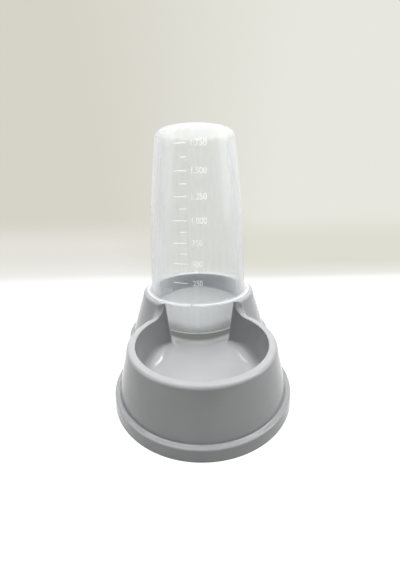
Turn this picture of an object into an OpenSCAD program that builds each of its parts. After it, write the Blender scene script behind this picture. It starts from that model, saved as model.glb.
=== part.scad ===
// Automatic pet bowl: a one-piece moulded base with a round bowl in front and a tower behind it,
// and an upturned measuring bottle that turns into the tower and feeds the bowl by gravity.
// The origin lies on the ground under the middle of the footprint. The tower stands on +Y.

/* [Base walls] */
// Thickness of every wall of the base
wall = 2.2; // [1.6:0.1:2.8]
// Distance from the bowl's axis to the tower's axis
axis_gap = 112.5; // [108:0.5:118]

/* [Foot] */
// Height of the foot's ledge above the ground
ledge_z = 11.6; // [8:0.2:14]
// Width of the ledge outside the walls
ledge_w = 4.6; // [3:0.2:7]
// Lean of the foot's outer face, degrees
foot_lean = 5; // [1:0.5:8]
// Radius of the ledge's outer edge
ledge_round = 1.6; // [0.8:0.1:2.4]

/* [Bowl] */
// Height of the bowl's rim above the ground
bowl_rim_z = 57.2; // [52:0.2:62]
// Width of the bowl's rim, from its inner edge to the outer wall before rounding
bowl_rim_w = 8.4; // [6.8:0.2:11]
// Lean of the bowl's outer wall, degrees
bowl_lean = 13.2; // [8:0.2:16]
// Radius of the rim's outer edge
bowl_round = 3; // [1.5:0.25:4]
// Inner radius of the bowl at its rim
mouth_r = 68.1; // [66:0.1:70]
// Lean of the bowl's inner wall, degrees
mouth_lean = 3; // [1:0.25:5]
// Height of the bowl's floor above the ground
floor_z = 5; // [4:0.25:8]
// Radius where the inner wall runs into the floor
floor_round = 14; // [8:0.5:18]

/* [Tower] */
// Height of the tower's rim above the ground
tower_rim_z = 73.4; // [68:0.2:80]
// Width of the tower's rim, from the well to the outer wall before rounding
tower_rim_w = 6.1; // [5.4:0.1:8.4]
// Lean of the tower's outer wall, degrees
tower_lean = 18.1; // [12:0.2:20]
// Radius of the tower rim's outer edge
tower_round = 4; // [2:0.25:4.5]
// Inner radius of the tower's well at its rim
well_r = 69.6; // [69.4:0.1:70.4]
// Lean of the well's wall, degrees
well_lean = 3.5; // [2:0.25:4]
// Slope of the ramp that leads from the back of the well down to the bowl, degrees
ramp_slope = 15.5; // [10:0.5:16]
// Height of the ramp on the tower's axis
ramp_z = 32.6; // [28:0.2:33]
// Radius of the bend between the bowl's floor and the ramp
ramp_bend = 90; // [40:5:140]
// Radius of the two upright edges between the bowl and the well
slot_round = 3; // [1.5:0.25:4]
// Distance from the bowl's axis to the steep faces that end the tower in front, at the bowl's rim
nose_reach = 39.8; // [38.4:0.1:41.2]
// Turn of the steep faces towards the sides, degrees
nose_turn = 13; // [10:0.5:16]
// Lean of the steep faces, degrees
nose_lean = 14; // [8:0.5:18]

/* [Bottle] */
// Wall of the bottle
bottle_wall = 1.3; // [1:0.1:1.8]
// Gap between the bottle's body and the well's wall, at the tower's rim
body_gap = 4.7; // [4.1:0.1:6.6]
// How much smaller the bottle's radius is at its shoulder than at its flange
bottle_taper = 16.8; // [13:0.1:21]
// How far the bottle's side bulges out from a straight cone
bottle_bulge = 2.8; // [0:0.1:4]
// Height of the bottle's shoulder above the ground
bottle_top_z = 269.4; // [240:0.5:290]
// Radius of the shoulder
shoulder_round = 9.7; // [6:0.1:14]
// Rise of the slightly domed top above the shoulder
dome_rise = 6.2; // [3:0.1:9]

/* [Scale] */
// Height of the lowest long mark above the ground
mark_z = 100; // [88:0.5:112]
// Distance from the highest long mark up to the start of the shoulder
mark_gap = 10.3; // [6:0.1:20]
// Number of long marks. A short one stands between each two
mark_count = 7; // [3:1:8]
// How much closer the marks stand near the bottle's wide end, as a share of the whole scale
mark_crowd = 0.1; // [0:0.02:0.2]
// Height of each mark's line
mark_h = 0.8; // [0.5:0.1:1.2]
// How far the marks stand out of the bottle's side
mark_t = 0.3; // [0.2:0.05:0.5]
// Angle that a long mark spans, degrees
long_mark = 15.5; // [10:0.5:18]
// Angle that a short mark spans, degrees
short_mark = 7.5; // [4:0.5:9]

/* [Flange and skirt] */
// How far the flange reaches over the tower's rim
flange_lap = 1.7; // [1.65:0.05:2]
// Thickness of the flange
flange_t = 2; // [1.4:0.1:2.6]
// Width of the index notch in the flange
notch_w = 5; // [3:0.5:7]
// Depth of the index notch in the flange
notch_d = 2; // [1:0.1:2.4]
// How much the skirt widens from the flange to its lower edge
skirt_flare = 1.1; // [0.5:0.1:1.3]
// Height of the skirt's lower edge in front, over the outlet
skirt_z = 34.6; // [34:0.1:40]
// Half of the angle over which the skirt hangs down to that height, degrees
skirt_half = 58; // [50:1:60]
// Clearance between the shorter back of the skirt and the top of the ramp
skirt_clear = 1.6; // [0.8:0.1:3]

/* [Twist lock] */
// Turn from locked to free, degrees
twist = 30; // [20:1:32]
// Angle that each lug spans, degrees
lug_span = 14; // [10:1:16]
// Height of each lug
lug_h = 4.6; // [3:0.1:5]
// How far the lugs reach past the well's radius at the rim
lug_bite = 0.9; // [0.4:0.1:1]
// Clearance above and outside the lugs in their pockets
lug_clear = 0.6; // [0.4:0.1:1]
// Clearance between a lug and the end of its pocket, degrees
lug_stop = 1; // [0.5:0.1:2]
// How much further out the channels reach than the pockets
channel_ease = 0.1; // [0.05:0.05:0.15]
// How much lower the channels reach than the pockets
channel_sink = 0.3; // [0.2:0.1:0.6]
// Clearance between the lugs and the ramp under them
lug_drop = 1.6; // [1:0.1:2.4]

/* [Hidden] */
$fn = 96;

arc_steps = 6;
deep = 20;
over = 6;
lug_angles = [134, -36];
front = -90;
notch_angle = -97.5;
mark_end = -102.5;
body_steps = 24;
dome_steps = 6;

// Radii of the walls' outer faces where they would meet the rims
bowl_top_r = mouth_r + bowl_rim_w;
tower_top_r = well_r + tower_rim_w;
// Radii of the bottle's body at its flange and shoulder, of the flange, of the skirt's edge and of the lugs
bottle_foot_r = well_r - body_gap;
bottle_top_r = bottle_foot_r - bottle_taper;
flange_r = well_r + flange_lap;
skirt_foot_r = bottle_foot_r + skirt_flare;
lug_r = well_r + lug_bite;

// Radius of each lobe of the foot on the ground
bowl_foot_r = bowl_top_r + (bowl_rim_z - ledge_z) * tan(bowl_lean) + ledge_w + ledge_z * tan(foot_lean);
tower_foot_r = tower_top_r + (tower_rim_z - ledge_z) * tan(tower_lean) + ledge_w
    + ledge_z * tan(foot_lean);
// Distance from the bowl's axis to the middle of the footprint
middle = (axis_gap + tower_foot_r - bowl_foot_r) / 2;

// Lowest level of the skirt's back, just above the highest point of the ramp
skirt_back_z = ramp_z + skirt_foot_r * tan(ramp_slope) + skirt_clear;
// Lowest level of the lugs, above the highest stretch of ramp that they pass
lug_z = ramp_z + lug_r * sin(lug_angles[0] - lug_span / 2) * tan(ramp_slope) + lug_drop;

// Points on an arc from angle a0 to a1
function arc(x, y, r, a0, a1, n = arc_steps) =
    [for (i = [0:n]) let (a = a0 + (a1 - a0) * i / n) [x + r * cos(a), y + r * sin(a)]];

// Rounded corner between a level top and a wall that leans out by lean degrees below it
function top_corner(wall_r, top, lean, r) =
    arc(wall_r + r * tan(lean) - r / cos(lean), top - r, r, lean, 90);

// Outer form of one lobe of the base with its foot, drawn in by inset
module lobe(top_z, top_r, lean, edge, inset) {
    wall_at = top_r - inset / cos(lean) + inset * tan(lean);
    top = top_z - inset;
    ledge = ledge_z - inset;
    foot_at = top_r + (top_z - ledge_z) * tan(lean) + ledge_w
        + inset * (tan(foot_lean) - 1 / cos(foot_lean));
    low = inset > 0 ? -1 : 0;
    rotate_extrude()
        polygon(concat(
            [[0, low], [foot_at + (ledge - low) * tan(foot_lean), low]],
            top_corner(foot_at, ledge, foot_lean, max(ledge_round - inset, 0.4)),
            [[wall_at + (top - ledge) * tan(lean), ledge]],
            top_corner(wall_at, top, lean, max(edge - inset, 0.6)),
            [[0, top]]));
}

// Block in front of the steep face that ends the tower on the +X side of the slot.
// What stays behind the face is drawn in by inset
module nose_front(inset) {
    translate([0, nose_reach / cos(nose_turn), bowl_rim_z])
        rotate([-nose_lean, 0, nose_turn])
            translate([-deep, inset - 2 * deep, -deep])
                cube([deep + mouth_r, 2 * deep, 3 * deep]);
}

// Outer form of the whole base, drawn in by inset
module base_form(inset) {
    lobe(bowl_rim_z, bowl_top_r, bowl_lean, bowl_round, inset);
    difference() {
        translate([0, axis_gap, 0])
            lobe(tower_rim_z, tower_top_r, tower_lean, tower_round, inset);
        nose_front(inset);
        mirror([1, 0, 0])
            nose_front(inset);
    }
}

// Space inside the bowl, with its rounded floor, made larger by grow
module bowl_space(grow) {
    r = floor_round + grow;
    centre_z = floor_z + floor_round;
    wall_at = mouth_r - (bowl_rim_z - centre_z) * tan(mouth_lean) + grow / cos(mouth_lean);
    high = tower_rim_z + over - centre_z;
    rotate_extrude()
        polygon(concat(
            [[0, centre_z - r]],
            arc(wall_at - r / cos(mouth_lean), centre_z, r, -90, -mouth_lean),
            [[wall_at + high * tan(mouth_lean), centre_z + high], [0, centre_z + high]]));
}

// Space inside the tower, made larger by grow
module well_space(grow) {
    wall_at = well_r + grow / cos(well_lean);
    translate([0, axis_gap, 0])
        rotate_extrude()
            polygon([[0, 0], [wall_at - tower_rim_z * tan(well_lean), 0],
                [wall_at + over * tan(well_lean), tower_rim_z + over], [0, tower_rim_z + over]]);
}

// Part of a ring about the tower's axis, between two radii, two heights and two angles
module ring_part(r0, r1, z0, z1, a0, a1) {
    translate([0, axis_gap, 0])
        rotate([0, 0, a0])
            rotate_extrude(angle = a1 - a0)
                translate([r0, z0])
                    square([r1 - r0, z1 - z0]);
}

// Pockets in the well's wall that hold the bottle's lugs, and the channels that let them in
module lug_spaces(grow) {
    half = lug_span / 2 + lug_stop;
    side = grow / lug_r * 180 / PI;
    for (a = lug_angles) {
        ring_part(well_r - over, lug_r + lug_clear + grow, lug_z - lug_clear - grow,
            lug_z + lug_h + lug_clear + grow, a - half - side, a + twist);
        ring_part(well_r - over, lug_r + lug_clear + channel_ease + grow,
            lug_z - lug_clear - channel_sink - grow, tower_rim_z + over,
            a + twist - half - side, a + twist + half + side);
    }
}

// Solid ground under the ramp: level with the bowl's floor in front, bent up into the slope,
// and lowered by drop along its normal
module ramp_ground(drop) {
    start = axis_gap - (ramp_z - floor_z) / tan(ramp_slope) - ramp_bend * tan(ramp_slope / 2);
    reach = axis_gap + tower_top_r + deep;
    top = ramp_z + (reach - axis_gap) * tan(ramp_slope) - drop / cos(ramp_slope);
    translate([-reach, 0, 0])
        rotate([90, 0, 90])
            linear_extrude(2 * reach)
                polygon(concat(
                    [[start, -deep]],
                    arc(start, floor_z + ramp_bend, ramp_bend + drop, -90, ramp_slope - 90),
                    [[reach, top], [reach, -deep]]));
}

// All the open space on the upper side of the base, made larger by grow
module upper_space(grow) {
    difference() {
        union() {
            bowl_space(grow);
            well_space(grow);
            slot_edge(grow);
            mirror([1, 0, 0])
                slot_edge(grow);
        }
        ramp_ground(grow);
    }
    lug_spaces(grow);
}

// Cutter for the upright edge on the +X side where the bowl's wall meets the well's wall.
// It leaves an edge of radius slot_round, which leans with the two walls
module slot_edge(grow) {
    r = max(slot_round - grow, 0.4);
    ends = [for (z = [0, tower_rim_z + over])
        let (rb = mouth_r + (z - bowl_rim_z) * tan(mouth_lean) + slot_round,
             rt = well_r + (z - tower_rim_z) * tan(well_lean) + slot_round,
             y = (rb * rb - rt * rt + axis_gap * axis_gap) / (2 * axis_gap))
        [sqrt(rb * rb - y * y), y, z]];
    along = ends[1] - ends[0];
    turn = atan2(along[1], along[0]);
    mid = (ends[0] + ends[1]) / 2;
    to_bowl = atan2(-mid[1], -mid[0]) + 360;
    to_well = atan2(axis_gap - mid[1], -mid[0]);
    translate(ends[0])
        rotate([0, acos(along[2] / norm(along)), turn])
            rotate([0, 0, -turn])
                difference() {
                    rotate([0, 0, (to_bowl + to_well) / 2])
                        translate([r * cos((to_bowl - to_well) / 2), -r, 0])
                            cube([3 * slot_round, 2 * r, norm(along)]);
                    translate([0, 0, -1])
                        cylinder(h = norm(along) + 2, r = r);
                }
}

module base() {
    color("#9b9c9c")
        translate([0, -middle, 0])
            difference() {
                base_form(0);
                upper_space(0);
                difference() {
                    base_form(wall);
                    upper_space(wall);
                }
            }
}

// Outer radius of the bottle at height z between its flange and its shoulder
function bottle_at(z) =
    let (t = (z - tower_rim_z) / (bottle_top_z - shoulder_round - tower_rim_z))
    bottle_foot_r + (bottle_top_r - bottle_foot_r) * t + 4 * bottle_bulge * t * (1 - t);

// Side, shoulder and domed top of the bottle, drawn in by inset
function bottle_side(inset) =
    let (shoulder = bottle_top_z - shoulder_round, flat_r = bottle_top_r - shoulder_round)
    concat(
        [for (i = [0:body_steps]) let (z = tower_rim_z + (shoulder - tower_rim_z) * i / body_steps)
            [bottle_at(z) - inset, z]],
        [for (i = [1:arc_steps]) let (a = 90 * i / arc_steps)
            [flat_r + (shoulder_round - inset) * cos(a), shoulder + (shoulder_round - inset) * sin(a)]],
        [for (i = [1:dome_steps]) let (k = 1 - i / dome_steps)
            [flat_r * k, bottle_top_z - inset + dome_rise * (1 - k * k)]]);

// Raised line of the scale at height z, which spans an angle and ends at mark_end
module scale_mark(z, span) {
    ring_part(bottle_at(z) - bottle_wall / 2, bottle_at(z) + mark_t, z - mark_h / 2, z + mark_h / 2,
        mark_end - span, mark_end);
}

// All the marks of the scale, from the lowest to the highest
module scale_marks() {
    high = bottle_top_z - shoulder_round - mark_gap;
    for (i = [0:0.5:mark_count - 1])
        let (t = i / (mark_count - 1))
            scale_mark(mark_z + (high - mark_z) * t * (1 - mark_crowd * (1 - t)),
                i == floor(i) ? long_mark : short_mark);
}

module bottle() {
    color("#e4e8ea", 0.6)
        translate([0, -middle, 0])
            difference() {
                union() {
                    translate([0, axis_gap, 0]) {
                        rotate_extrude()
                            polygon(concat(
                                [[0, skirt_z], [skirt_foot_r, skirt_z], [bottle_foot_r, tower_rim_z]],
                                bottle_side(0)));
                        difference() {
                            translate([0, 0, tower_rim_z])
                                cylinder(h = flange_t, r = flange_r);
                            rotate([0, 0, notch_angle])
                                translate([flange_r - notch_d, -notch_w / 2, tower_rim_z - 1])
                                    cube([notch_d + 1, notch_w, flange_t + 2]);
                        }
                    }
                    for (a = lug_angles)
                        ring_part(bottle_foot_r - bottle_wall, lug_r, lug_z, lug_z + lug_h,
                            a - lug_span / 2, a + lug_span / 2);
                    scale_marks();
                }
                translate([0, axis_gap, 0])
                    rotate_extrude()
                        polygon(concat([[0, skirt_z - 1], [skirt_foot_r - bottle_wall, skirt_z - 1],
                            [bottle_foot_r - bottle_wall, tower_rim_z]], bottle_side(bottle_wall)));
                difference() {
                    ring_part(bottle_foot_r - 2 * over, lug_r + 1, skirt_z - 1, skirt_back_z,
                        front + skirt_half, front + 360 - skirt_half);
                    for (a = lug_angles)
                        ring_part(bottle_foot_r - 3 * over, lug_r + 2, lug_z, skirt_back_z + 1,
                            a - lug_span / 2, a + lug_span / 2);
                }
            }
}

base();
bottle();
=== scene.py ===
"""Automatic pet bowl: a moulded grey base with bowl and tower, and a milky measuring bottle in the tower.

Lengths are in millimetres, as in the part's source, unless a docstring says metres. Angles are in degrees.
Meshes are built in metres, in the part's frame: the tower stands on +Y and the ground is at Z = 0.
"""

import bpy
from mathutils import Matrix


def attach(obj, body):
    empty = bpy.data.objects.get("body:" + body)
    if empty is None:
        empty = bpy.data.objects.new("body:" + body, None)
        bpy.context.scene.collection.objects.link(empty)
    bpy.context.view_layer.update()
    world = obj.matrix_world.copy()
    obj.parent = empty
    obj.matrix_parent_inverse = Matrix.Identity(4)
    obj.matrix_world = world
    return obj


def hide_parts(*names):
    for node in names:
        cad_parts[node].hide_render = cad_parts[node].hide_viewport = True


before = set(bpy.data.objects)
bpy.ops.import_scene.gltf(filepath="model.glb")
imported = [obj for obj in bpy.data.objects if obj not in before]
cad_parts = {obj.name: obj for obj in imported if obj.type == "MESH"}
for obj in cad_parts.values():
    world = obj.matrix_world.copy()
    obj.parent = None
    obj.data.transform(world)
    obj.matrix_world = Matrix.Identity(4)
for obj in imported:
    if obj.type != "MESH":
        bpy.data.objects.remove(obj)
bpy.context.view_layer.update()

import logging
import math
from dataclasses import dataclass
from enum import Enum

import bmesh
import bpy
import numpy as np
from mathutils import Matrix, Vector

log = logging.getLogger("pet_bowl")
Tree = bpy.types.NodeTree
Socket = bpy.types.NodeSocket
Node = bpy.types.Node
Piece = bpy.types.Object
Array = np.ndarray

MM = 0.001

# The node types used most, input numbers of Map Range, and input and output numbers of Mix for colours
MATH, MAP_RANGE, MIX = "ShaderNodeMath", "ShaderNodeMapRange", "ShaderNodeMix"
FROM_LOW, FROM_HIGH, TO_LOW, TO_HIGH = 1, 2, 3, 4
COLOUR_A, COLOUR_B, COLOUR_OUT = 6, 7, 2

# The bowl's and the tower's axes in the part's frame, and the two lugs' angles about the tower's axis
AXIS_GAP = 112.5
BOWL_Y = -60.602
TOWER_Y = BOWL_Y + AXIS_GAP
LUG_ANGLES = (134.0, -36.0)


# Helpers


def linear(hex_colour: str) -> tuple[float, float, float, float]:
    """Turns an sRGB hex colour to linear light.

    Args:
        hex_colour: A colour such as "#9a9b9b".

    Returns:
        Linear red, green, blue and an alpha of 1.
    """
    parts = [int(hex_colour[i : i + 2], 16) / 255 for i in (1, 3, 5)]
    red, green, blue = (c / 12.92 if c <= 0.04045 else ((c + 0.055) / 1.055) ** 2.4 for c in parts)
    return red, green, blue, 1.0


def add_node(tree: Tree, kind: str, inputs: dict | None = None, **settings: object) -> Node:
    """Adds one shader node with its inputs and settings.

    Args:
        tree: The node tree.
        kind: The node's type name.
        inputs: By an input's name or number, its value or what feeds it: a socket, or a node's output 0.
        settings: The node's own settings by name.

    Returns:
        The new node.
    """
    made = tree.nodes.new(kind)
    for name, value in settings.items():
        setattr(made, name, value)
    for key, value in (inputs or {}).items():
        source = value.outputs[0] if isinstance(value, Node) else value
        if isinstance(source, Socket):
            tree.links.new(source, made.inputs[key])
        else:
            made.inputs[key].default_value = source
    return made


def new_material(name: str) -> tuple[bpy.types.Material, Tree]:
    """Makes an empty node material.

    Args:
        name: The material's name.

    Returns:
        The material and its node tree.
    """
    material = bpy.data.materials.new(name)
    material.use_nodes = True
    material.node_tree.nodes.clear()
    return material, material.node_tree


def mesh_object(name: str, points: Array, faces: list[tuple], sharp_deg: float) -> Piece:
    """Makes a smooth-shaded mesh object.

    Args:
        name: The object's name.
        points: Vertices in metres, one row each.
        faces: Vertex numbers of each face.
        sharp_deg: Angle between faces above which an edge stays sharp.

    Returns:
        The object, linked to the scene.
    """
    mesh = bpy.data.meshes.new(name)
    mesh.from_pydata([tuple(map(float, p)) for p in points], [], faces)
    built = bmesh.new()
    built.from_mesh(mesh)
    bmesh.ops.remove_doubles(built, verts=built.verts, dist=0.004 * MM)
    bmesh.ops.dissolve_degenerate(built, edges=built.edges, dist=0.002 * MM)
    bmesh.ops.recalc_face_normals(built, faces=built.faces)
    built.to_mesh(mesh)
    built.free()
    mesh.polygons.foreach_set("use_smooth", [True] * len(mesh.polygons))
    mesh.set_sharp_from_angle(angle=math.radians(sharp_deg))
    made = bpy.data.objects.new(name, mesh)
    bpy.context.scene.collection.objects.link(made)
    return made


def join_round(a: Array, b: Array, r: float | Array) -> Array:
    """Joins two distance fields, with a hollow fillet of radius r between them."""
    return np.maximum(r, np.minimum(a, b)) - np.hypot(np.maximum(r - a, 0), np.maximum(r - b, 0))


def meet_round(a: Array, b: Array, r: float | Array) -> Array:
    """Keeps what two distance fields share, with its edge rounded to radius r."""
    return np.minimum(-r, np.maximum(a, b)) + np.hypot(np.maximum(r + a, 0), np.maximum(r + b, 0))


def smooth(x: Array, start: float, end: float) -> Array:
    """Rises smoothly from 0 at start to 1 at end."""
    t = np.clip((np.asarray(x, float) - start) / (end - start), 0, 1)
    return t * t * (3 - 2 * t)


def cross_point(r0: float, r1: float, gap: float) -> Array:
    """Gives the point with x > 0 where a circle of r0 about (0, 0) meets one of r1 about (0, gap)."""
    y = (r0 * r0 - r1 * r1 + gap * gap) / (2 * gap)
    return np.array([math.sqrt(r0 * r0 - y * y), y])


def circle(radius: float, angles: Array, centre: Array) -> Array:
    """Gives the points of a circle in plan at some angles."""
    turn = np.radians(angles)
    return centre + radius * np.stack([np.cos(turn), np.sin(turn)], -1)


def lift(plan: Array, height: float | Array) -> Array:
    """Gives the points of a plan a height, one for all or one for each."""
    tall = np.broadcast_to(np.asarray(height, float), len(plan))
    return np.concatenate([plan, tall[:, None]], 1)


def arc(x: float, y: float, r: float, start: float, end: float, steps: int) -> list[tuple[float, float]]:
    """Gives the points of an arc about (x, y), from one angle to another."""
    turns = [math.radians(start + (end - start) * i / steps) for i in range(steps + 1)]
    return [(x + r * math.cos(turn), y + r * math.sin(turn)) for turn in turns]


def bent_bar(
    loop: list[tuple[float, float]], start: float, end: float, steps: int, axis_y: float
) -> tuple[list[tuple], list[tuple]]:
    """Sweeps a closed outline round an upright axis.

    Args:
        loop: Radius and height of the outline's points.
        start: Angle where the bar starts.
        end: Angle where it ends.
        steps: How many stretches it has.
        axis_y: The axis's Y.

    Returns:
        The points, and the vertex numbers of each face.
    """
    points, n = [], len(loop)
    for i in range(steps + 1):
        turn = math.radians(start + (end - start) * i / steps)
        points += [(r * math.cos(turn), axis_y + r * math.sin(turn), z) for r, z in loop]
    faces = []
    for i in range(steps):
        for k in range(n):
            after = (k + 1) % n
            faces.append((i * n + k, (i + 1) * n + k, (i + 1) * n + after, i * n + after))
    faces += [tuple(range(n)), tuple(steps * n + k for k in reversed(range(n)))]
    return points, faces


def axis_distance(tree: Tree, place: Socket, axis_y: float) -> Socket:
    """Adds nodes for the distance of a point from the upright axis at X = 0.

    Args:
        tree: The node tree.
        place: Socket with the point, in metres.
        axis_y: The axis's Y.

    Returns:
        Socket with the distance, in metres.
    """
    axis = (0.0, axis_y * MM, 0.0)
    moved = add_node(tree, "ShaderNodeVectorMath", {0: place, 1: axis}, operation="SUBTRACT")
    flat = add_node(tree, "ShaderNodeVectorMath", {0: moved, 1: (1.0, 1.0, 0.0)}, operation="MULTIPLY")
    return add_node(tree, "ShaderNodeVectorMath", {0: flat}, operation="LENGTH").outputs["Value"]


# Finishes


class Slot(Enum):
    """The record's material slots."""

    BASE = "grey_plastic"
    BOTTLE = "clear_plastic"


class Along(Enum):
    """What a painted shade's edge is measured along: a coordinate, or the distance from an axis at this Y.
    """

    Y = "y"
    Z = "z"
    BOWL = BOWL_Y
    TOWER = TOWER_Y
    RAMP = 76.9


@dataclass(frozen=True)
class PaintedShade:
    """Painted shade or shadow: a darker tint that stays in one region of a piece, with soft edges.

    Each edge says what it is measured along, where the tint is still out, and where it is full.
    """

    colour: str
    edges: tuple[tuple[Along, float, float], ...]

    def lay(self, tree: Tree, place: Socket, under: Socket) -> Socket:
        """Adds nodes that lay the painted shade over a colour.

        Args:
            tree: The node tree.
            place: Socket with the point, in metres.
            under: Socket with the colour under the tint.

        Returns:
            Socket with the mixed colour.
        """
        split = add_node(tree, "ShaderNodeSeparateXYZ", {0: place})
        axes = {Along.Y: split.outputs["Y"], Along.Z: split.outputs["Z"]}
        inside = 1.0
        for along, out, full in self.edges:
            if along not in axes:
                axes[along] = axis_distance(tree, place, along.value)
            edge = {0: axes[along], FROM_LOW: out * MM, FROM_HIGH: full * MM}
            part = add_node(tree, MAP_RANGE, edge, interpolation_type="SMOOTHSTEP")
            inside = add_node(tree, MATH, {0: inside, 1: part}, operation="MULTIPLY")
        tinted = {0: inside, COLOUR_A: under, COLOUR_B: linear(self.colour)}
        return add_node(tree, MIX, tinted, data_type="RGBA").outputs[COLOUR_OUT]


# Painted shadow that the bottle casts on the ramp, close under its skirt
SKIRT_SHADOW = PaintedShade("#575754", ((Along.RAMP, 46.0, 67.5), (Along.RAMP, 82.0, 75.0), (Along.Z, 30.0, 26.0),
                         (Along.Y, 70.0, 50.0)))
# The deep, bluish shade of the well's rear wall behind the bottle's flange
SHADE = PaintedShade("#525b68", ((Along.TOWER, 64.5, 66.5), (Along.TOWER, 70.9, 70.2), (Along.Z, 44.0, 50.0),
                          (Along.Z, 72.8, 72.4), (Along.Y, 20.0, 45.0)))
# Painted shade in the lug's pocket at the back, deeper than the wall and so darker still
POCKET_SHADE = PaintedShade("#4a5058", ((Along.TOWER, 70.2, 70.9), (Along.TOWER, 72.6, 72.0), (Along.Z, 48.8, 49.3),
                           (Along.Z, 55.4, 54.9), (Along.Y, 20.0, 45.0)))
# Painted shade in the groove between the wall and the foot's ledge, over the ledge's flat top
GROOVE_SHADE = PaintedShade("#818283", ((Along.BOWL, 78.0, 82.0), (Along.TOWER, 78.0, 82.0), (Along.Z, 11.2, 11.55),
                           (Along.Z, 13.2, 12.4)))


@dataclass(frozen=True)
class MouldedGreyPolypropylene:
    """Injection-moulded grey polypropylene: a satin gloss with faint flow waves and small scuffs, with
    painted shade and shadow under the skirt, in the well, the lug's pocket and the ledge's groove.
    """

    colour: str = "#949596"
    flow_tint: str = "#8e8f90"
    roughness: float = 0.12
    scuff_roughness: tuple[float, float] = (-0.01, 0.02)
    scuff_range: tuple[float, float] = (0.35, 0.75)
    ior: float = 1.49
    wave_mm: float = 22.0
    wave_depth: float = 0.2
    wave_strength: float = 0.03
    scuff_mm: float = 5.0
    painted_shades: tuple[PaintedShade, ...] = (SKIRT_SHADOW, SHADE, POCKET_SHADE, GROOVE_SHADE)

    def make(self) -> bpy.types.Material:
        """Builds the material.

        Returns:
            The finished material.
        """
        material, tree = new_material("moulded_grey_polypropylene")
        place = add_node(tree, "ShaderNodeTexCoord").outputs["Object"]
        # the melt's flow leaves a slight change of tone and broad, low waves in the gloss
        waves = {"Vector": place, "Scale": 1 / (self.wave_mm * MM), "Detail": 3.0}
        flow = add_node(tree, "ShaderNodeTexNoise", waves)
        tones = {0: flow, COLOUR_A: linear(self.colour), COLOUR_B: linear(self.flow_tint)}
        tint = add_node(tree, MIX, tones, data_type="RGBA").outputs[COLOUR_OUT]
        # painted shade and shadow go over the tone: under the bottle's skirt, in the well, the lug's pocket
        # and the ledge's groove
        for shade_patch in self.painted_shades:
            tint = shade_patch.lay(tree, place, tint)
        # scuffs from use break the gloss a little; real ones are finer, but would not show at this distance
        scuffs = {"Vector": place, "Scale": 1 / (self.scuff_mm * MM), "Detail": 4.0}
        low, high = (self.roughness + change for change in self.scuff_roughness)
        worn = {0: add_node(tree, "ShaderNodeTexNoise", scuffs), TO_LOW: low, TO_HIGH: high}
        worn |= {FROM_LOW: self.scuff_range[0], FROM_HIGH: self.scuff_range[1]}
        rough = add_node(tree, MAP_RANGE, worn)
        depth = {"Height": flow, "Strength": self.wave_strength, "Distance": self.wave_depth * MM}
        bump = add_node(tree, "ShaderNodeBump", depth)
        surface = {"Base Color": tint, "Roughness": rough, "IOR": self.ior, "Normal": bump}
        skin = add_node(tree, "ShaderNodeBsdfPrincipled", surface)
        add_node(tree, "ShaderNodeOutputMaterial", {"Surface": skin})
        return material


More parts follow.
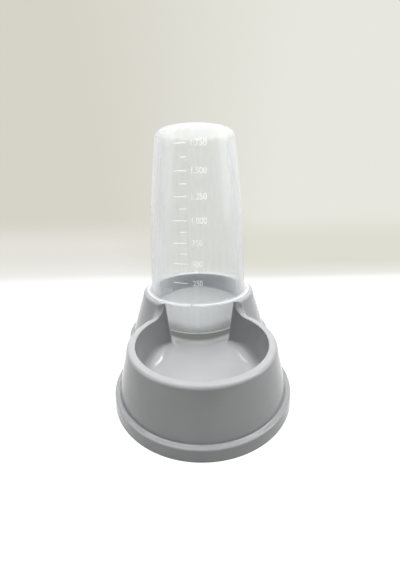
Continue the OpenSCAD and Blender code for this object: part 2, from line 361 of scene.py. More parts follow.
@dataclass(frozen=True)
class MilkyPolypropylene:
    """Natural polypropylene, moulded thin: it scatters a cool haze and lets the light through.

    The haze is denser at glancing angles, on the flange and on the skirt's lip, and thinner on the dome.
    Faint upright streaks are draw marks of the mould.
    """

    name: str = "milky_natural_polypropylene"
    haze: str = "#cfd3d9"
    edge_haze: str = "#ffffff"
    passed: str = "#fffffe"
    density: float = 0.13
    edge_density: float = 0.85
    edge_power: float = 1.9
    dome_share: float = 0.5
    dome_z: tuple[float, float] = (252.0, 266.0)
    flange_density: float = 0.7
    flange_r: tuple[float, float] = (68.0, 71.0)
    lip_density: float = 0.35
    lip_z: tuple[float, float] = (36.2, 35.3)
    shadow_share: float = 0.3
    facing_share: float = 0.035
    glance_share: float = 0.8
    schlick_power: float = 5.0
    roughness: float = 0.24
    streak_mm: float = 6.0
    streak_long_mm: float = 600.0
    streak_range: tuple[float, float] = (0.3, 0.7)
    streak_density: tuple[float, float] = (-0.02, 0.03)

    def _haze_share(self, tree: Tree, rim: Node) -> Node:
        """Adds nodes for the share of light that the haze scatters.

        Args:
            tree: The node tree.
            rim: Node with 0 where the wall faces the eye, rising to 1 at a glance.

        Returns:
            Node with the share.
        """
        place = add_node(tree, "ShaderNodeTexCoord").outputs["Object"]
        height = add_node(tree, "ShaderNodeSeparateXYZ", {0: place}).outputs["Z"]
        ends = {TO_LOW: self.density, TO_HIGH: self.edge_density}
        total = add_node(tree, MAP_RANGE, {0: rim} | ends)
        across, upright = 1 / (self.streak_mm * MM), 1 / (self.streak_long_mm * MM)
        drawn = add_node(tree, "ShaderNodeMapping", {"Vector": place, "Scale": (across, across, upright)})
        streak = add_node(tree, "ShaderNodeTexNoise", {"Vector": drawn, "Scale": 1.0, "Detail": 2.0})
        streaks = {0: streak, FROM_LOW: self.streak_range[0], FROM_HIGH: self.streak_range[1]}
        streaks |= {TO_LOW: self.streak_density[0], TO_HIGH: self.streak_density[1]}
        lip = {0: height, TO_HIGH: self.lip_density}
        lip |= {FROM_LOW: self.lip_z[0] * MM, FROM_HIGH: self.lip_z[1] * MM}
        for more in (streaks, lip):
            part = add_node(tree, MAP_RANGE, more)
            total = add_node(tree, MATH, {0: total, 1: part}, operation="ADD", use_clamp=True)
        dome = {0: height, FROM_LOW: self.dome_z[0] * MM, FROM_HIGH: self.dome_z[1] * MM}
        dome |= {TO_LOW: 1.0, TO_HIGH: self.dome_share}
        thin = add_node(tree, MAP_RANGE, dome, interpolation_type="SMOOTHSTEP")
        total = add_node(tree, MATH, {0: total, 1: thin}, operation="MULTIPLY")
        flange = {0: axis_distance(tree, place, TOWER_Y), TO_HIGH: self.flange_density}
        flange |= {FROM_LOW: self.flange_r[0] * MM, FROM_HIGH: self.flange_r[1] * MM}
        thick = add_node(tree, MAP_RANGE, flange)
        return add_node(tree, MATH, {0: total, 1: thick}, operation="ADD", use_clamp=True)

    def make(self) -> bpy.types.Material:
        """Builds the material.

        Returns:
            The finished material.
        """
        material, tree = new_material(self.name)
        facing = add_node(tree, "ShaderNodeLayerWeight", {"Blend": 0.5}).outputs["Facing"]
        rim = add_node(tree, MATH, {0: facing, 1: self.edge_power}, operation="POWER")
        # thin milky plastic sends most light onwards, so its shadow is fainter than its haze
        shadow_ray = add_node(tree, "ShaderNodeLightPath").outputs["Is Shadow Ray"]
        shade = add_node(tree, MAP_RANGE, {0: shadow_ray, TO_LOW: 1.0, TO_HIGH: self.shadow_share})
        haze = {0: self._haze_share(tree, rim), 1: shade}
        total = add_node(tree, MATH, haze, operation="MULTIPLY")
        # a wall seen at a glance passes on more of the light from behind it, so its haze is brighter there
        tones = {0: rim, COLOUR_A: linear(self.haze), COLOUR_B: linear(self.edge_haze)}
        milky = add_node(tree, MIX, tones, data_type="RGBA").outputs[COLOUR_OUT]
        front = add_node(tree, "ShaderNodeBsdfDiffuse", {"Color": milky})
        through = add_node(tree, "ShaderNodeBsdfTranslucent", {"Color": milky})
        milk = add_node(tree, "ShaderNodeMixShader", {0: 0.5, 1: front, 2: through})
        clear = add_node(tree, "ShaderNodeBsdfTransparent", {"Color": linear(self.passed)})
        body = add_node(tree, "ShaderNodeMixShader", {0: total, 1: clear, 2: milk})
        # the share that a plastic surface mirrors, by Schlick's rule
        steep = add_node(tree, MATH, {0: facing, 1: self.schlick_power}, operation="POWER")
        mirrored = {0: steep, TO_LOW: self.facing_share, TO_HIGH: self.glance_share}
        share = add_node(tree, MAP_RANGE, mirrored)
        # light that glances off an upright wall still reaches the ramp beside it, so it casts no dark ring
        share = add_node(tree, MATH, {0: share, 1: shade}, operation="MULTIPLY")
        gloss = add_node(tree, "ShaderNodeBsdfGlossy", {"Roughness": self.roughness})
        skin = add_node(tree, "ShaderNodeMixShader", {0: share, 1: body, 2: gloss})
        add_node(tree, "ShaderNodeOutputMaterial", {"Surface": skin})
        return material


# The raised scale is frosted: an even white haze with hardly any gloss
FROSTED = MilkyPolypropylene(name="frosted_polypropylene", haze="#ffffff", density=0.28, edge_density=0.28,
                             glance_share=0.2)


# Base


@dataclass
class Plan:
    """Plan lines of the base's sections, once around from the front, with Y from the bowl's axis.

    The inner and outer points lie on the two sides of the rim, the anchors in the middle of the floor.
    Towerness says how far each section belongs to the tower, from 0 to 1.
    """

    inner: Array
    outer: Array
    anchors: Array
    towerness: Array

    def way(self) -> Array:
        """Gives the level direction outward in each section."""
        across = self.outer - self.inner
        return lift(across / np.linalg.norm(across, axis=1)[:, None], 0.0)


@dataclass(frozen=True)
class Grid:
    """How finely one sheet of the base is cast.

    Rays start from a middle line, which lies at a share of the way from the inner to the outer points, sunk
    below the rim. Other shares run along their stretch from 0 to 1, and the rim's angles from outward over
    upright to inward. Tower heights are those of the rings down the well's wall.
    """

    middle_share: float
    sunk: float
    foot_rays: int
    ledge_shares: tuple[float, ...]
    wall_shares: tuple[float, ...]
    rim_angles: tuple[float, ...]
    tower_heights: tuple[float, ...]
    fillet_rays: int
    floor_shares: tuple[float, ...]


@dataclass
class BaseHousing:
    """The one-piece base: bowl, tower, ramp, stepped foot and rims, hollow underneath.

    Its form is a field of distances, negative inside. Rays find its surface, and the field's level at minus
    the wall's thickness gives the underside.
    """

    wall: float = 2.2
    ledge_z: float = 11.6
    ledge_w: float = 4.6
    foot_lean: float = 5.0
    ledge_round: float = 1.2
    bowl_rim_z: float = 57.2
    bowl_top_r: float = 75.8
    bowl_lean: float = 14.0
    bowl_round: float = 2.4
    mouth_r: float = 68.1
    mouth_lean: float = 3.0
    floor_z: float = 5.0
    floor_round: float = 14.0
    ramp_round: float = 1.5
    ramp_round_y: tuple[float, float] = (30.0, 66.0)
    tower_rim_z: float = 73.4
    tower_top_r: float = 75.7
    tower_lean: float = 18.1
    tower_round: float = 3.0
    well_r: float = 69.6
    well_lean: float = 3.5
    ramp_slope: float = 15.5
    ramp_z: float = 32.6
    ramp_bend: float = 90.0
    slot_round: float = 3.0
    inner_edge: float = 1.1
    waist_round: float = 5.0
    foot_waist_round: float = 8.0
    junction_round: float = 0.7
    nose_turn: float = 12.9
    nose_reach: float = 41.3
    nose_lean: float = 0.08
    nose_edge: float = 0.8
    nose_sweep: float = 14.0
    nose_sweep_x: tuple[float, float] = (50.0, 60.0)
    nose_end: float = 51.0
    nose_end_slope: float = 2.0
    pocket_z: tuple[float, float] = (49.21, 55.01)
    pocket_from_r: float = 60.0
    pocket_depth_r: float = 71.1
    pocket_end_r: float = 2.6
    pocket_end_turn: float = 2.2
    pocket_before: float = 8.0
    pocket_after: float = 38.0
    channel_from: float = 22.0
    channel_depth_r: float = 71.2

    # Where the mesh's sections lie: plan lines beside the rims, angles about each axis, and counts
    mouth_line_out: float = 0.25
    well_line_in: float = 0.7
    waist_line_out: float = 5.3
    bowl_turns: tuple[float, float, float] = (-90.0, 36.0, 45.0)
    bowl_steps: tuple[float, float] = (2.0, 0.9)
    bowl_tip_sections: int = 26
    slot_turns: tuple[float, float] = (-40.0, -42.0)
    slot_sections: int = 20
    tower_turns: tuple[float, float] = (-38.5, 90.0)
    tower_step: float = 1.97
    tip_sections: int = 10
    outer_even: tuple[float, float] = (5.0, 0.0)
    mark_turn: float = 0.15
    mark_rise: float = 0.12

    # How rays are cast: start height above the part, reaches, and small offsets from edges
    sky_z: float = 90.0
    reach: float = 70.0
    reach_floor: float = 95.0
    reach_round: float = 40.0
    reach_foot: float = 20.0
    marching_steps: int = 120
    halvings: int = 16
    foot_ring_z: float = 5.0
    hub_r: float = 2.4
    hub_back: float = 0.4
    wall_from: float = 1.2
    ledge_under: float = 1.5
    wall_start: float = 0.2
    ring_drop: float = 0.2
    ring_rise: float = 0.03

    def _lobe(self, r: Array, z: Array, form: tuple[float, float, float], edge: float) -> Array:
        """Gives the distance to one drafted lobe with a rounded rim.

        Args:
            r: Distance from the lobe's axis.
            z: Height.
            form: Height of the rim, radius of the wall where it would meet the rim, and lean of the wall.
            edge: Radius of the rim's edge.

        Returns:
            Distance, negative inside.
        """
        top_z, top_r, lean = form
        side = (r - top_r) * math.cos(math.radians(lean)) - (top_z - z) * math.sin(math.radians(lean))
        return meet_round(z - top_z, side, edge)

    def _foot(self, r: Array, z: Array, form: tuple[float, float, float]) -> Array:
        """Gives the level distance to one lobe's foot, with the arguments of _lobe."""
        top_z, top_r, lean = form
        ledge_r = top_r + (top_z - self.ledge_z) * math.tan(math.radians(lean)) + self.ledge_w
        return r - ledge_r - (self.ledge_z - z) * math.tan(math.radians(self.foot_lean))

    def _outer(self, p: Array) -> Array:
        """Gives the distance to the outer form with its foot, as if it were solid.

        Args:
            p: The points, with Y from the bowl's axis.

        Returns:
            Distance, negative inside.
        """
        x, y, z = p[..., 0], p[..., 1], p[..., 2]
        rb, rt = np.hypot(x, y), np.hypot(x, y - AXIS_GAP)
        bowl_form = (self.bowl_rim_z, self.bowl_top_r, self.bowl_lean)
        tower_form = (self.tower_rim_z, self.tower_top_r, self.tower_lean)
        bowl = self._lobe(rb, z, bowl_form, self.bowl_round)
        tower = self._lobe(rt, z, tower_form, self.tower_round)
        turn = math.radians(self.nose_turn)
        nose = np.abs(x) * math.sin(turn) - y * math.cos(turn) + self.nose_reach
        nose = (nose + self.nose_lean * (z - self.bowl_rim_z)) / math.hypot(1, self.nose_lean)
        nose = nose - self.nose_end_slope * np.maximum(np.abs(x) - self.nose_end, 0)
        tower = meet_round(tower, nose, self.nose_edge)
        beside = smooth(np.abs(x), *self.nose_sweep_x)
        walls = join_round(bowl, tower, self.nose_sweep + (self.waist_round - self.nose_sweep) * beside)
        feet = (self._foot(rb, z, bowl_form), self._foot(rt, z, tower_form))
        side = join_round(*feet, self.foot_waist_round) * math.cos(math.radians(self.foot_lean))
        return join_round(walls, meet_round(z - self.ledge_z, side, self.ledge_round), self.junction_round)

    def _ground(self, y: Array) -> tuple[Array, Array]:
        """Gives the height and slope of the floor and ramp.

        Args:
            y: Y of the points, from the bowl's axis.

        Returns:
            The height, and the slope in radians.
        """
        slope = math.radians(self.ramp_slope)
        climb = (self.ramp_z - self.floor_z) / math.tan(slope)
        start = AXIS_GAP - climb - self.ramp_bend * math.tan(slope / 2)
        end = start + self.ramp_bend * math.sin(slope)
        along = np.clip(y - start, 0, self.ramp_bend * math.sin(slope))
        height = self.floor_z + self.ramp_bend - np.sqrt(self.ramp_bend**2 - along**2)
        height = height + np.maximum(y - end, 0) * math.tan(slope)
        return height, np.arcsin(along / self.ramp_bend)

    def _fillet(self, y: Array) -> Array:
        """Gives the fillet between floor and wall: wide in the bowl, small beside the ramp."""
        return self.floor_round + (self.ramp_round - self.floor_round) * smooth(y, *self.ramp_round_y)

    def _pocket(self, lug: float, turn: Array, rt: Array, z: Array) -> Array:
        """Gives the distance to one lug's pocket in the well's wall, and to its channel up to the rim.

        Args:
            lug: The lug's angle about the tower's axis.
            turn: Angle of the points.
            rt: Distance of the points from the tower's axis.
            z: Height of the points.

        Returns:
            Distance, negative inside.
        """
        low, high = self.pocket_z
        swing = (turn - (lug - self.pocket_before) + 180) % 360 - 180
        along = np.radians(swing) * self.pocket_depth_r
        long = math.radians(self.pocket_before + self.pocket_after) * self.pocket_depth_r
        across = np.abs(z - (low + high) / 2) - (high - low) / 2 + self.pocket_end_r
        ends = np.abs(along - long / 2) - long / 2 + self.pocket_end_r
        corner = np.hypot(np.maximum(across, 0), np.maximum(ends, 0))
        flat = np.minimum(np.maximum(across, ends), 0) + corner - self.pocket_end_r
        pocket = np.maximum(np.maximum(flat, rt - self.pocket_depth_r), self.pocket_from_r - rt)
        start = math.radians(self.pocket_before + self.channel_from) * self.pocket_depth_r
        channel = np.maximum(np.maximum(start - along, along - long), low - z)
        channel = np.maximum(np.maximum(channel, rt - self.channel_depth_r), self.pocket_from_r - rt)
        return np.minimum(pocket, channel)

    def _open_space(self, p: Array) -> Array:
        """Gives the distance to the open space above the floor and ramp, with the lugs' pockets.

        Args:
            p: The points, with Y from the bowl's axis.

        Returns:
            Distance, negative inside.
        """
        x, y, z = p[..., 0], p[..., 1], p[..., 2]
        rb, rt = np.hypot(x, y), np.hypot(x, y - AXIS_GAP)
        lean_b, lean_t = math.radians(self.mouth_lean), math.radians(self.well_lean)
        mouth = (rb - self.mouth_r) * math.cos(lean_b) + (self.bowl_rim_z - z) * math.sin(lean_b)
        well = (rt - self.well_r) * math.cos(lean_t) + (self.tower_rim_z - z) * math.sin(lean_t)
        height, slope = self._ground(y)
        sides = join_round(mouth, well, self.slot_round)
        space = meet_round(sides, (height - z) * np.cos(slope), self._fillet(y))
        turn = np.degrees(np.arctan2(y - AXIS_GAP, x))
        for lug in LUG_ANGLES:
            space = np.minimum(space, self._pocket(lug, turn, rt, z))
        return space

    def _solid(self, p: Array) -> Array:
        """Gives the distance to the base as if it were filled underneath."""
        return meet_round(self._outer(p), -self._open_space(p), self.inner_edge)

    def _cast(self, start: Array, way: Array, level: float, reach: float) -> Array:
        """Finds where rays first cross a level of the distance field.

        Args:
            start: Start of each ray.
            way: Unit direction of each ray.
            level: Level of the field to find.
            reach: Longest ray.

        Returns:
            Crossing points, or the ray's end where there is none.
        """
        steps = np.linspace(0, reach, self.marching_steps + 1)
        inside = self._solid(start) < level
        low, high = np.zeros(start.shape[:-1]), np.full(start.shape[:-1], float(reach))
        open_rays = np.ones(start.shape[:-1], bool)
        for near, far in zip(steps[:-1], steps[1:]):
            hit = open_rays & ((self._solid(start + way * far) < level) != inside)
            low[hit], high[hit] = near, far
            open_rays &= ~hit
            if not open_rays.any():
                break
        for _ in range(self.halvings):
            mid = (low + high) / 2
            crossed = (self._solid(start + way * mid[..., None]) < level) != inside
            high = np.where(crossed, mid, high)
            low = np.where(crossed, low, mid)
        return start + way * ((low + high) / 2)[..., None]

    def _eased(self, angle: Array, near: float, far_in: float, far_out: float) -> Array:
        """Gives the outer angle of each section for its inner angle.

        Args:
            angle: Inner angles.
            near: Angle up to which both are equal.
            far_in: Inner angle at the tip.
            far_out: Outer angle at the waist, which the outer angles are drawn towards.

        Returns:
            Outer angles.
        """
        t = np.clip((angle - near) / (far_in - near), 0, 1)
        first = (far_in - near) / (far_out - near)
        drawn = near + (far_out - near) * (first * t + (1 - first) * t * t)
        return np.where((angle - near) * np.sign(far_in - near) > 0, drawn, angle)

    def _tower_angles(self, tower_in: float) -> Array:
        """Gives the sections' angles about the tower, with a pair at each edge of the pockets.

        Args:
            tower_in: Angle of the tip.

        Returns:
            Angles from the tip to straight back, on the right side, which the left side mirrors.
        """
        marks = []
        for lug in LUG_ANGLES:
            start, end = lug - self.pocket_before, lug + self.pocket_after
            ends = [start, start + self.pocket_end_turn, end - self.pocket_end_turn, end]
            for edge in ends + [lug + self.channel_from]:
                side = edge if abs(edge) < 90 else 180 - edge
                marks += [side - self.mark_turn, side + self.mark_turn]
        first, last = self.tower_turns
        spread = list(np.linspace(tower_in, self.slot_turns[0], self.slot_sections))
        spread += list(np.arange(first, last, self.tower_step)) + [last]
        spread = [a for a in spread if all(abs(a - m) > 2 * self.mark_turn for m in marks)]
        return np.array(sorted(spread + marks))

    def _stations(self) -> Plan:
        """Lays out the sections, closer together towards the tips between bowl and tower.

        Returns:
            The plan lines.
        """
        tower = np.array([0.0, AXIS_GAP])
        mouth_r, well_r = self.mouth_r + self.mouth_line_out, self.well_r - self.well_line_in
        slot, waist_r = self.slot_round, self.waist_round
        tip = cross_point(mouth_r + slot, well_r + slot, AXIS_GAP)
        tower_r = self.tower_top_r + self.waist_line_out
        waist = cross_point(self.bowl_top_r + waist_r, tower_r + waist_r, AXIS_GAP)
        bowl_in, bowl_out, tower_in, tower_out = (
            math.degrees(math.atan2(*reversed(p))) for p in (tip, waist, tip - tower, waist - tower))
        first, finer, finest = self.bowl_turns
        coarse, fine = self.bowl_steps
        bowl_angles = np.concatenate([np.arange(first, finer, coarse), np.arange(finer, finest, fine),
                                      np.linspace(finest, bowl_in, self.bowl_tip_sections)])
        tower_angles = self._tower_angles(tower_in)
        fan = np.linspace(0, 1, self.tip_sections + 2)[1:-1]
        tip_fan = bowl_in + 180 + (tower_in - bowl_in) * fan
        waist_fan = bowl_out + 180 + (tower_out - bowl_out) * fan
        inner = np.concatenate([circle(mouth_r, bowl_angles, 0 * tower), circle(slot, tip_fan, tip),
                                circle(well_r, tower_angles, tower)])
        bowl_even, tower_even = self.outer_even
        bowl_outer = self._eased(bowl_angles, bowl_even, bowl_in, bowl_out)
        tower_outer = self._eased(tower_angles, tower_even, tower_in, tower_out)
        outer = np.concatenate([circle(self.bowl_top_r, bowl_outer, 0 * tower),
                                circle(waist_r, waist_fan, waist),
                                circle(self.tower_top_r, tower_outer, tower)])
        bowl_side = 0.5 * smooth(bowl_angles, finest, bowl_in)
        tower_side = 0.5 + 0.5 * smooth(tower_angles, tower_in, self.slot_turns[1])
        towerness = np.concatenate([bowl_side, 0.5 + 0 * fan, tower_side])
        inner, outer = (np.concatenate([side, side[-2:0:-1] * [-1, 1]]) for side in (inner, outer))
        towerness = np.concatenate([towerness, towerness[-2:0:-1]])
        anchors = np.stack([0 * inner[:, 0], np.clip(inner[:, 1], 0, AXIS_GAP)], -1)
        return Plan(inner, outer, anchors, towerness)

    def _grids(self) -> tuple[Grid, Grid]:
        """Gives the grids of the top and of the plainer underside.

        Returns:
            The top's grid, and the underside's.
        """
        # rings stand closer at the pockets' edges, and rim rays closer over the rim's inner edge
        tower_heights = [66, 62, 58, 54.2, 53, 51.2, 50, 46, 42, 38, 33, 27, 20]
        tower_heights += [z + side * self.mark_rise for z in self.pocket_z for side in (-1, 1)]
        over_outer, over_top = np.arange(8, 72, 5.5), np.arange(74, 116, 9)
        over_inner, down_inner = np.arange(118, 148, 2.4), range(150, 180, 8)
        top = Grid(
            middle_share=0.5,
            sunk=4.0,
            foot_rays=8,
            ledge_shares=(0.4, 0.8),
            wall_shares=(0.004, 0.012, 0.03, 0.1, 0.2, 0.3, 0.42, 0.54, 0.66, 0.78, 0.9, 1.0),
            rim_angles=(*over_outer, *over_top, *over_inner, *down_inner),
            tower_heights=tuple(sorted(tower_heights, reverse=True)),
            fillet_rays=9,
            floor_shares=(0.03, 0.1, 0.25, 0.42, 0.6, 0.8, 1.0),
        )
        under = Grid(
            middle_share=0.76,
            sunk=10.0,
            foot_rays=4,
            ledge_shares=(0.5,),
            wall_shares=(0.02, 0.3, 0.7, 1.0),
            rim_angles=tuple(np.linspace(20, 160, 9)),
            tower_heights=(60, 46, 34, 20),
            fillet_rays=5,
            floor_shares=(0.35, 1.0),
        )
        return top, under

    def _sheet(self, plan: Plan, grid: Grid, level: float) -> Array:
        """Casts one sheet of the base.

        Args:
            plan: The sections' plan lines.
            grid: How finely the sheet is cast.
            level: Level of the distance field: 0 for the top, minus the wall for the underside.

        Returns:
            Points by section and ring, from the foot over the rim to the middle of the floor.
        """
        way, down = plan.way(), np.broadcast_to([0.0, 0.0, -1.0], (len(plan.inner), 3))
        middle = plan.inner + (plan.outer - plan.inner) * grid.middle_share
        centre_z = self._cast(lift(middle, self.sky_z), down, 0.0, self.sky_z)[:, 2] - grid.sunk
        return np.stack(self._outer_rings(grid, level, middle, centre_z, way)
                        + self._inner_rings(plan, grid, level, middle, centre_z), 1)

    def _outer_rings(
        self, grid: Grid, level: float, middle: Array, centre_z: Array, way: Array
    ) -> list[Array]:
        """Casts the rings from the foot over the ledge and the wall to the rim.

        Args:
            grid: How finely the sheet is cast.
            level: Level of the distance field.
            middle: Plan points of the middle line.
            centre_z: Heights of the middle line.
            way: Level direction outward in each section.

        Returns:
            The rings in order.
        """
        ledge = self.ledge_z + level
        rings = [self._cast(lift(middle, z), way, level, self.reach) for z in (0.0, self.foot_ring_z)]
        hub = rings[-1][:, :2] - way[:, :2] * (self.hub_r + self.hub_back)
        for angle in np.radians(np.linspace(0, 90, grid.foot_rays)):
            ray = way * math.cos(angle) + np.array([0, 0, math.sin(angle)])
            rings.append(self._cast(lift(hub, ledge - self.hub_r), ray, level, self.reach_foot))
        wall_foot = self._cast(lift(middle, ledge + self.wall_from), way, level, self.reach)[:, :2]
        # the underside's ledge is met from below, the top's from above
        start_z, upright = (ledge - self.ledge_under, 1.0) if level < 0 else (self.sky_z, -1.0)
        ray = np.broadcast_to([0.0, 0.0, upright], way.shape)
        for share in grid.ledge_shares:
            rings.append(self._cast(lift(hub + (wall_foot - hub) * share, start_z), ray, level, self.sky_z))
        start = ledge + self.wall_start
        for share in grid.wall_shares:
            height = start + (centre_z - start) * share
            rings.append(self._cast(lift(middle, height), way, level, self.reach))
        for angle in np.radians(grid.rim_angles):
            ray = way * math.cos(angle) + np.array([0, 0, math.sin(angle)])
            rings.append(self._cast(lift(middle, centre_z), ray, level, self.reach_round))
        return rings

    def _inner_rings(
        self, plan: Plan, grid: Grid, level: float, middle: Array, centre_z: Array
    ) -> list[Array]:
        """Casts the rings down the inner wall, through the fillet and over the floor.

        Args:
            plan: The sections' plan lines.
            grid: How finely the sheet is cast.
            level: Level of the distance field.
            middle: Plan points of the middle line.
            centre_z: Heights of the middle line.

        Returns:
            The rings in order.
        """
        way, rings = plan.way(), []
        reach = np.maximum(self._fillet(plan.inner[:, 1]), self.hub_r)
        stop = self._ground(plan.inner[:, 1])[0] + reach
        count = len(grid.tower_heights)
        for order, tower_z in enumerate(grid.tower_heights):
            bowl_z = stop + (centre_z - stop) * (1 - (order + 1) / count)
            z = bowl_z * (1 - plan.towerness) + tower_z * plan.towerness
            z = np.minimum(z, centre_z - self.ring_drop * order)
            z = np.maximum(z, stop + self.ring_rise * (count - order))
            rings.append(self._cast(lift(middle, z), -way, level, self.reach))
        wall_at = self._cast(lift(middle, stop), -way, 0.0, self.reach)[:, :2]
        hub = wall_at - way[:, :2] * reach[:, None]
        for angle in np.radians(np.linspace(0, 90, grid.fillet_rays)):
            ray = way * math.cos(angle) - np.array([0, 0, math.sin(angle)])
            rings.append(self._cast(lift(hub, stop), ray, level, self.reach_round))
        down = np.broadcast_to([0.0, 0.0, -1.0], way.shape)
        for share in grid.floor_shares:
            over = lift(hub + (plan.anchors - hub) * share, self.sky_z)
            rings.append(self._cast(over, down, level, self.reach_floor))
        return rings

    def build(self) -> Piece:
        """Casts both sheets, closes them along the foot and makes the base's mesh.

        Returns:
            The base's object.
        """
        plan = self._stations()
        top_grid, under_grid = self._grids()
        top, under = self._sheet(plan, top_grid, 0.0), self._sheet(plan, under_grid, -self.wall)
        count, rings_t, rings_u = top.shape[0], top.shape[1], under.shape[1]
        log.info("base sections %d, rings %d and %d", count, rings_t, rings_u)
        faces = []
        for i in range(count):
            j = (i + 1) % count
            here, there = i * rings_t, j * rings_t
            low, far = count * rings_t + i * rings_u, count * rings_t + j * rings_u
            faces += [(here + k, there + k, there + k + 1, here + k + 1) for k in range(rings_t - 1)]
            faces += [(low + k, low + k + 1, far + k + 1, far + k) for k in range(rings_u - 1)]
            faces.append((here, low, far, there))
        points = np.concatenate([top.reshape(-1, 3), under.reshape(-1, 3)]) + [0.0, BOWL_Y, 0.0]
        return mesh_object("base_housing", points * MM, faces, 38)

    def dress(self, piece: Piece, finish: MouldedGreyPolypropylene) -> None:
        """Gives the base its finish and its place in the frame.

        Args:
            piece: The base's object.
            finish: The moulded grey finish.
        """
        piece.data.materials.append(finish.make())
        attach(piece, "base")
        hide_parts("base")


# Bottle


@dataclass
class MeasuringBottle:
    """The upturned measuring bottle: body, domed top, flange, skirt and lugs."""

    wall: float = 1.3
    foot_r: float = 64.9
    top_r: float = 48.1
    bulge: float = 2.8
    rim_z: float = 73.4
    top_z: float = 269.4
    shoulder: float = 9.7
    dome: float = 6.2
    flange_r: float = 71.3
    flange_t: float = 2.0
    flange_edge: float = 0.7
    flange_fillet: float = 1.2
    seat_out: tuple[float, float] = (1.0, 0.1)
    seat_drop: float = 0.8
    notch_w: float = 5.0
    notch_d: float = 2.0
    notch_at: float = -97.5
    skirt_foot_r: float = 66.0
    skirt_z: float = 34.6
    skirt_back_z: float = 52.5
    skirt_half: float = 58.0
    skirt_shares: tuple[float, ...] = (0.2, 0.5, 0.8)
    lip: float = 0.5
    lug_span: float = 14.0
    lug_r: float = 70.5
    lug_z: float = 49.81
    lug_h: float = 4.6
    lug_edge: float = 0.5
    lug_bevel: float = 0.15
    lug_sunk: float = 0.25

    # How finely the mesh is made: points or steps outside and inside, of small edges, and around
    dome_points: tuple[int, int] = (14, 12)
    shoulder_steps: tuple[int, int] = (14, 10)
    wall_points: tuple[int, int] = (44, 40)
    edge_steps: tuple[int, int] = (5, 4)
    lug_steps: int = 12
    section_step: float = 2.0
    mark_turn: float = 0.25

    def radius(self, z: float) -> float:
        """Gives the outer radius of the body at a height above the flange."""
        t = (z - self.rim_z) / (self.top_z - self.shoulder - self.rim_z)
        return self.foot_r + (self.top_r - self.foot_r) * t + 4 * self.bulge * t * (1 - t)

    def _skirt_r(self, z: float) -> float:
        """Gives the outer radius of the skirt at a height below the flange."""
        lean = (self.skirt_foot_r - self.foot_r) / (self.rim_z - self.skirt_z)
        return self.foot_r + (self.rim_z - z) * lean

    def _dome(self, z: float, count: int) -> list[tuple[float, float]]:
        """Draws the domed top from its centre out, as points of radius and height over an edge at z."""
        flat_r = self.top_r - self.shoulder
        return [(flat_r * k, z + self.dome * (1 - k * k)) for k in np.linspace(0, 1, count)]

    def _profile(self, flange_r: float, low_z: float) -> list[tuple[float, float]]:
        """Draws the bottle's section from the top's centre outside, round the skirt, and back inside.

        Args:
            flange_r: The flange's radius in this section.
            low_z: The skirt's lower edge in this section.

        Returns:
            Radius and height of each point.
        """
        shoulder_z, flat_r = self.top_z - self.shoulder, self.top_r - self.shoulder
        top_f, fillet = self.rim_z + self.flange_t, self.flange_fillet
        edge, lip = self.flange_edge, self.lip
        upper, lower = self.edge_steps
        wall_z = np.linspace(shoulder_z, top_f + fillet, self.wall_points[0])
        skirt_z = [self.rim_z + (low_z - self.rim_z) * share for share in self.skirt_shares]
        skirt = [(self._skirt_r(z), z) for z in skirt_z]
        low_r = self._skirt_r(low_z)
        points = self._dome(self.top_z, self.dome_points[0])
        points += arc(flat_r, shoulder_z, self.shoulder, 90, 0, self.shoulder_steps[0])[1:]
        points += [(self.radius(z), z) for z in wall_z[1:]]
        points += arc(self.radius(top_f + fillet) + fillet, top_f + fillet, fillet, 180, 270, upper)[1:]
        points += arc(flange_r - edge, top_f - edge, edge, 90, 0, upper)
        points += arc(flange_r - edge, self.rim_z + edge, edge, 0, -90, lower)
        points += [(self.foot_r + self.seat_out[0], self.rim_z)]
        points += [(self.foot_r + self.seat_out[1], self.rim_z - self.seat_drop)]
        points += skirt
        points += arc(low_r - lip, low_z + lip, lip, 0, -90, lower)
        points += arc(low_r - self.wall + lip, low_z + lip, lip, -90, -180, lower)
        points += [(r - self.wall, z) for r, z in reversed(skirt)]
        inner_z = np.linspace(self.rim_z, shoulder_z, self.wall_points[1])
        points += [(self.radius(z) - self.wall, z) for z in inner_z]
        points += arc(flat_r, shoulder_z, self.shoulder - self.wall, 0, 90, self.shoulder_steps[1])[1:]
        return points + self._dome(self.top_z - self.wall, self.dome_points[1])[-2::-1]

    def _sections(self) -> list[tuple[float, float, float]]:
        """Lays out the sections round the bottle, with a pair at each edge of the notch and the long skirt.

        Returns:
            Angle, flange radius and skirt's lower edge of each section.
        """
        half_notch = math.degrees(self.notch_w / 2 / self.flange_r)
        edges = [self.notch_at - half_notch, self.notch_at + half_notch]
        edges += [-90 - self.skirt_half, -90 + self.skirt_half]
        stops = [a for a in np.arange(-180, 180, self.section_step)
                 if all(abs(a - edge) > 2 * self.mark_turn for edge in edges)]
        stops += [edge + side for edge in edges for side in (-self.mark_turn, self.mark_turn)]
        sections = []
        for a in sorted(stops):
            notched, in_front = abs(a - self.notch_at) < half_notch, abs(a + 90) < self.skirt_half
            flange_r = self.flange_r - self.notch_d if notched else self.flange_r
            sections.append((a, flange_r, self.skirt_z if in_front else self.skirt_back_z))
        return sections

    def build(self) -> Piece:
        """Makes the bottle's closed mesh.

        Returns:
            The bottle's object.
        """
        points, faces = [], []
        sections = self._sections()
        for a, flange_r, low_z in sections:
            c, s = math.cos(math.radians(a)), math.sin(math.radians(a))
            points += [(r * c, TOWER_Y + r * s, z) for r, z in self._profile(flange_r, low_z)]
        per = len(points) // len(sections)
        for i in range(len(sections)):
            here, there = i * per, (i + 1) % len(sections) * per
            faces += [(here + k, there + k, there + k + 1, here + k + 1) for k in range(per - 1)]
        log.info("bottle sections %d, points each %d", len(sections), per)
        return mesh_object("measuring_bottle", np.array(points) * MM, faces, 35)

